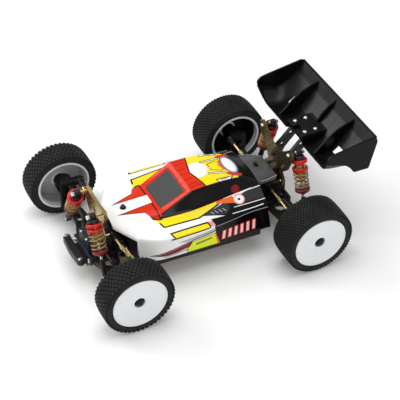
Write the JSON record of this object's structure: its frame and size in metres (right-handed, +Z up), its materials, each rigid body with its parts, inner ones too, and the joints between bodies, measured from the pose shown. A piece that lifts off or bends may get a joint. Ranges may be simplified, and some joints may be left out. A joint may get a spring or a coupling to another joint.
{
  "type": "rc buggy",
  "caption": "Four-wheel-drive off-road model buggy with striped body shell, high rear wing, coil-over shock absorbers, treaded tyres and working steering.",
  "frame": {"origin": "on the ground, under the middle of the overall length and width", "axes": "+X forward to the nose, +Y to the car's left, +Z up"},
  "size_m": [0.278, 0.194, 0.108],
  "materials": {
    "gold": "gold-anodised plate, satin",
    "gold_turned": "gold-anodised turned parts, satin",
    "plastic": "black moulded nylon",
    "steel": "bare steel",
    "black_steel": "blackened steel",
    "shock_rod": "polished shaft with a dark red lower cup",
    "battery": "shrink-wrapped pack",
    "shell": "painted clear shell, glossy",
    "wheel": "white moulded rim with a black lock nut",
    "tyre": "soft black rubber",
    "spring": "coated spring wire"
  },
  "bodies": {
    "chassis": {"chassis_plate": "gold", "chassis_guard": "plastic", "front_gearbox": "plastic", "rear_gearbox": "plastic", "front_shock_tower": "gold", "rear_shock_tower": "gold", "front_bumper": "plastic", "motor": "black_steel", "steering_servo": "plastic", "speed_controller": "plastic", "battery_pack": "battery", "wing_mount": "plastic", "rear_wing": "plastic", "body_shell": "shell"},
    "front_arm_left": {"front_arm_left": "plastic"},
    "front_hub_carrier_left": {"front_hub_carrier_left": "plastic"},
    "front_camber_link_left": {"front_camber_link_left": "gold_turned"},
    "front_drive_shaft_left": {"front_drive_shaft_left": "black_steel"},
    "front_shock_body_left": {"front_shock_body_left": "gold_turned", "front_shock_spring_left": "spring"},
    "front_shock_rod_left": {"front_shock_rod_left": "shock_rod"},
    "front_wheel_left": {"front_wheel_left": "wheel", "front_tyre_left": "tyre"},
    "front_knuckle_left": {"front_knuckle_left": "plastic"},
    "tie_rod_left": {"tie_rod_left": "gold_turned"},
    "rear_arm_left": {"rear_arm_left": "plastic"},
    "rear_hub_carrier_left": {"rear_hub_carrier_left": "plastic"},
    "rear_camber_link_left": {"rear_camber_link_left": "gold_turned"},
    "rear_drive_shaft_left": {"rear_drive_shaft_left": "black_steel"},
    "rear_shock_body_left": {"rear_shock_body_left": "gold_turned", "rear_shock_spring_left": "spring"},
    "rear_shock_rod_left": {"rear_shock_rod_left": "shock_rod"},
    "rear_wheel_left": {"rear_wheel_left": "wheel", "rear_tyre_left": "tyre"},
    "front_arm_right": {"front_arm_right": "plastic"},
    "front_hub_carrier_right": {"front_hub_carrier_right": "plastic"},
    "front_camber_link_right": {"front_camber_link_right": "gold_turned"},
    "front_drive_shaft_right": {"front_drive_shaft_right": "black_steel"},
    "front_shock_body_right": {"front_shock_body_right": "gold_turned", "front_shock_spring_right": "spring"},
    "front_shock_rod_right": {"front_shock_rod_right": "shock_rod"},
    "front_wheel_right": {"front_wheel_right": "wheel", "front_tyre_right": "tyre"},
    "front_knuckle_right": {"front_knuckle_right": "plastic"},
    "tie_rod_right": {"tie_rod_right": "gold_turned"},
    "rear_arm_right": {"rear_arm_right": "plastic"},
    "rear_hub_carrier_right": {"rear_hub_carrier_right": "plastic"},
    "rear_camber_link_right": {"rear_camber_link_right": "gold_turned"},
    "rear_drive_shaft_right": {"rear_drive_shaft_right": "black_steel"},
    "rear_shock_body_right": {"rear_shock_body_right": "gold_turned", "rear_shock_spring_right": "spring"},
    "rear_shock_rod_right": {"rear_shock_rod_right": "shock_rod"},
    "rear_wheel_right": {"rear_wheel_right": "wheel", "rear_tyre_right": "tyre"},
    "steering_plate": {"steering_plate": "gold"},
    "servo_horn": {"servo_horn": "plastic"},
    "centre_shaft": {"centre_shaft": "black_steel"},
    "motor_pinion": {"motor_pinion": "steel"}
  },
  "joints": [
    {"name": "front_arm_left_swing", "type": "hinge", "parent": "chassis", "child": "front_arm_left", "pos_m": [0.106, 0.0155, 0.019], "axis": [1, 0, 0], "range_deg": [-10, 12], "stiffness_Nm_per_rad": 1, "springref_deg": -4.58},
    {"name": "front_hub_carrier_left_pivot", "type": "hinge", "parent": "front_arm_left", "child": "front_hub_carrier_left", "pos_m": [0.106, 0.062, 0.019], "axis": [1, 0, 0], "range_deg": [-12.5, 10.5]},
    {"name": "front_camber_link_left_swing", "type": "hinge", "parent": "chassis", "child": "front_camber_link_left", "pos_m": [0.0961, 0.014, 0.041], "axis": [1, 0, 0], "range_deg": [-10.5, 12.5]},
    {"name": "front_drive_shaft_left_swing", "type": "hinge", "parent": "chassis", "child": "front_drive_shaft_left", "pos_m": [0.106, 0.017, 0.028], "axis": [1, 0, 0], "range_deg": [-10.5, 12.5]},
    {"name": "front_shock_body_left_swing", "type": "hinge", "parent": "chassis", "child": "front_shock_body_left", "pos_m": [0.115, 0.017, 0.071], "axis": [1, 0, 0], "range_deg": [-2.44, 2.82]},
    {"name": "front_shock_rod_left_slide", "type": "slide", "parent": "front_shock_body_left", "child": "front_shock_rod_left", "axis": [0, -0.4614, 0.8872], "range_m": [-0.00452, 0.0054], "deforming": ["front_shock_spring_left"]},
    {"name": "steer", "type": "hinge", "parent": "front_hub_carrier_left", "child": "front_knuckle_left", "pos_m": [0.106, 0.071, 0.033], "axis": [0, 0, 1], "range_deg": [-25, 25]},
    {"name": "front_wheel_left_spin", "type": "hinge", "parent": "front_knuckle_left", "child": "front_wheel_left", "pos_m": [0.106, 0.085, 0.033], "axis": [0, 1, 0], "continuous": true},
    {"name": "tie_rod_left_swing", "type": "hinge", "parent": "steering_plate", "child": "tie_rod_left", "pos_m": [0.0905, 0.0225, 0.0362], "axis": [1, 0, 0], "range_deg": [-10.5, 12.5]},
    {"name": "rear_arm_left_swing", "type": "hinge", "parent": "chassis", "child": "rear_arm_left", "pos_m": [-0.069, 0.0155, 0.019], "axis": [1, 0, 0], "range_deg": [-10, 12], "stiffness_Nm_per_rad": 1, "springref_deg": -5.73},
    {"name": "rear_hub_carrier_left_pivot", "type": "hinge", "parent": "rear_arm_left", "child": "rear_hub_carrier_left", "pos_m": [-0.069, 0.062, 0.019], "axis": [1, 0, 0], "range_deg": [-12.5, 10.5]},
    {"name": "rear_camber_link_left_swing", "type": "hinge", "parent": "chassis", "child": "rear_camber_link_left", "pos_m": [-0.0591, 0.014, 0.041], "axis": [1, 0, 0], "range_deg": [-10.5, 12.5]},
    {"name": "rear_drive_shaft_left_swing", "type": "hinge", "parent": "chassis", "child": "rear_drive_shaft_left", "pos_m": [-0.069, 0.017, 0.028], "axis": [1, 0, 0], "range_deg": [-10.5, 12.5]},
    {"name": "rear_shock_body_left_swing", "type": "hinge", "parent": "chassis", "child": "rear_shock_body_left", "pos_m": [-0.0835, 0.0245, 0.0785], "axis": [1, 0, 0], "range_deg": [-1.75, 2.01]},
    {"name": "rear_shock_rod_left_slide", "type": "slide", "parent": "rear_shock_body_left", "child": "rear_shock_rod_left", "axis": [0, -0.3285, 0.9445], "range_m": [-0.005, 0.00597], "deforming": ["rear_shock_spring_left"]},
    {"name": "rear_wheel_left_spin", "type": "hinge", "parent": "rear_hub_carrier_left", "child": "rear_wheel_left", "pos_m": [-0.069, 0.082, 0.033], "axis": [0, 1, 0], "continuous": true},
    {"name": "front_arm_right_swing", "type": "hinge", "parent": "chassis", "child": "front_arm_right", "pos_m": [0.106, -0.0155, 0.019], "axis": [-1, 0, 0], "range_deg": [-10, 12], "stiffness_Nm_per_rad": 1, "springref_deg": -4.58},
    {"name": "front_hub_carrier_right_pivot", "type": "hinge", "parent": "front_arm_right", "child": "front_hub_carrier_right", "pos_m": [0.106, -0.062, 0.019], "axis": [-1, 0, 0], "range_deg": [-12.5, 10.5]},
    {"name": "front_camber_link_right_swing", "type": "hinge", "parent": "chassis", "child": "front_camber_link_right", "pos_m": [0.0961, -0.014, 0.041], "axis": [-1, 0, 0], "range_deg": [-10.5, 12.5]},
    {"name": "front_drive_shaft_right_swing", "type": "hinge", "parent": "chassis", "child": "front_drive_shaft_right", "pos_m": [0.106, -0.017, 0.028], "axis": [-1, 0, 0], "range_deg": [-10.5, 12.5]},
    {"name": "front_shock_body_right_swing", "type": "hinge", "parent": "chassis", "child": "front_shock_body_right", "pos_m": [0.115, -0.017, 0.071], "axis": [-1, 0, 0], "range_deg": [-2.44, 2.82]},
    {"name": "front_shock_rod_right_slide", "type": "slide", "parent": "front_shock_body_right", "child": "front_shock_rod_right", "axis": [0, 0.4614, 0.8872], "range_m": [-0.00452, 0.0054], "deforming": ["front_shock_spring_right"]},
    {"name": "steer_right", "type": "hinge", "parent": "front_hub_carrier_right", "child": "front_knuckle_right", "pos_m": [0.106, -0.071, 0.033], "axis": [0, 0, 1], "range_deg": [-25.5, 25.5]},
    {"name": "front_wheel_right_spin", "type": "hinge", "parent": "front_knuckle_right", "child": "front_wheel_right", "pos_m": [0.106, -0.085, 0.033], "axis": [0, 1, 0], "continuous": true},
    {"name": "tie_rod_right_swing", "type": "hinge", "parent": "steering_plate", "child": "tie_rod_right", "pos_m": [0.0905, -0.0225, 0.0362], "axis": [-1, 0, 0], "range_deg": [-10.5, 12.5]},
    {"name": "rear_arm_right_swing", "type": "hinge", "parent": "chassis", "child": "rear_arm_right", "pos_m": [-0.069, -0.0155, 0.019], "axis": [-1, 0, 0], "range_deg": [-10, 12], "stiffness_Nm_per_rad": 1, "springref_deg": -5.73},
    {"name": "rear_hub_carrier_right_pivot", "type": "hinge", "parent": "rear_arm_right", "child": "rear_hub_carrier_right", "pos_m": [-0.069, -0.062, 0.019], "axis": [-1, 0, 0], "range_deg": [-12.5, 10.5]},
    {"name": "rear_camber_link_right_swing", "type": "hinge", "parent": "chassis", "child": "rear_camber_link_right", "pos_m": [-0.0591, -0.014, 0.041], "axis": [-1, 0, 0], "range_deg": [-10.5, 12.5]},
    {"name": "rear_drive_shaft_right_swing", "type": "hinge", "parent": "chassis", "child": "rear_drive_shaft_right", "pos_m": [-0.069, -0.017, 0.028], "axis": [-1, 0, 0], "range_deg": [-10.5, 12.5]},
    {"name": "rear_shock_body_right_swing", "type": "hinge", "parent": "chassis", "child": "rear_shock_body_right", "pos_m": [-0.0835, -0.0245, 0.0785], "axis": [-1, 0, 0], "range_deg": [-1.75, 2.01]},
    {"name": "rear_shock_rod_right_slide", "type": "slide", "parent": "rear_shock_body_right", "child": "rear_shock_rod_right", "axis": [0, 0.3285, 0.9445], "range_m": [-0.005, 0.00597], "deforming": ["rear_shock_spring_right"]},
    {"name": "rear_wheel_right_spin", "type": "hinge", "parent": "rear_hub_carrier_right", "child": "rear_wheel_right", "pos_m": [-0.069, -0.082, 0.033], "axis": [0, 1, 0], "continuous": true},
    {"name": "steering_plate_slide", "type": "slide", "parent": "chassis", "child": "steering_plate", "axis": [0, 1, 0], "range_m": [-0.0069, 0.0069]},
    {"name": "servo_horn_turn", "type": "hinge", "parent": "chassis", "child": "servo_horn", "pos_m": [0.0785, -0.014, 0.028], "axis": [0, 0, 1], "range_deg": [-33, 33]},
    {"name": "centre_shaft_spin", "type": "hinge", "parent": "chassis", "child": "centre_shaft", "pos_m": [0.0185, 0, 0.0264], "axis": [1, 0, 0], "continuous": true},
    {"name": "motor_pinion_spin", "type": "hinge", "parent": "chassis", "child": "motor_pinion", "pos_m": [-0.0401, -0.01693, 0.0288], "axis": [1, 0, 0], "continuous": true}
  ],
  "couplings": [
    {"joint": "front_hub_carrier_left_pivot", "follows": "front_arm_left_swing", "ratio": -1},
    {"joint": "front_camber_link_left_swing", "follows": "front_arm_left_swing", "ratio": 1},
    {"joint": "front_drive_shaft_left_swing", "follows": "front_arm_left_swing", "ratio": 1},
    {"joint": "front_shock_body_left_swing", "follows": "front_arm_left_swing", "ratio": 0.19364},
    {"joint": "front_shock_rod_left_slide", "follows": "front_arm_left_swing", "m_per_rad": 0.02532},
    {"joint": "tie_rod_left_swing", "follows": "front_arm_left_swing", "ratio": 1},
    {"joint": "rear_hub_carrier_left_pivot", "follows": "rear_arm_left_swing", "ratio": -1},
    {"joint": "rear_camber_link_left_swing", "follows": "rear_arm_left_swing", "ratio": 1},
    {"joint": "rear_drive_shaft_left_swing", "follows": "rear_arm_left_swing", "ratio": 1},
    {"joint": "rear_shock_body_left_swing", "follows": "rear_arm_left_swing", "ratio": 0.12546},
    {"joint": "rear_shock_rod_left_slide", "follows": "rear_arm_left_swing", "m_per_rad": 0.02805},
    {"joint": "front_hub_carrier_right_pivot", "follows": "front_arm_right_swing", "ratio": -1},
    {"joint": "front_camber_link_right_swing", "follows": "front_arm_right_swing", "ratio": 1},
    {"joint": "front_drive_shaft_right_swing", "follows": "front_arm_right_swing", "ratio": 1},
    {"joint": "front_shock_body_right_swing", "follows": "front_arm_right_swing", "ratio": 0.19364},
    {"joint": "front_shock_rod_right_slide", "follows": "front_arm_right_swing", "m_per_rad": 0.02532},
    {"joint": "steer_right", "follows": "steer", "ratio": 1},
    {"joint": "tie_rod_right_swing", "follows": "front_arm_right_swing", "ratio": 1},
    {"joint": "rear_hub_carrier_right_pivot", "follows": "rear_arm_right_swing", "ratio": -1},
    {"joint": "rear_camber_link_right_swing", "follows": "rear_arm_right_swing", "ratio": 1},
    {"joint": "rear_drive_shaft_right_swing", "follows": "rear_arm_right_swing", "ratio": 1},
    {"joint": "rear_shock_body_right_swing", "follows": "rear_arm_right_swing", "ratio": 0.12546},
    {"joint": "rear_shock_rod_right_slide", "follows": "rear_arm_right_swing", "m_per_rad": 0.02805},
    {"joint": "steering_plate_slide", "follows": "steer", "m_per_rad": -0.0155},
    {"joint": "servo_horn_turn", "follows": "steer", "ratio": -1.2917},
    {"joint": "motor_pinion_spin", "follows": "centre_shaft_spin", "ratio": -2.8}
  ]
}
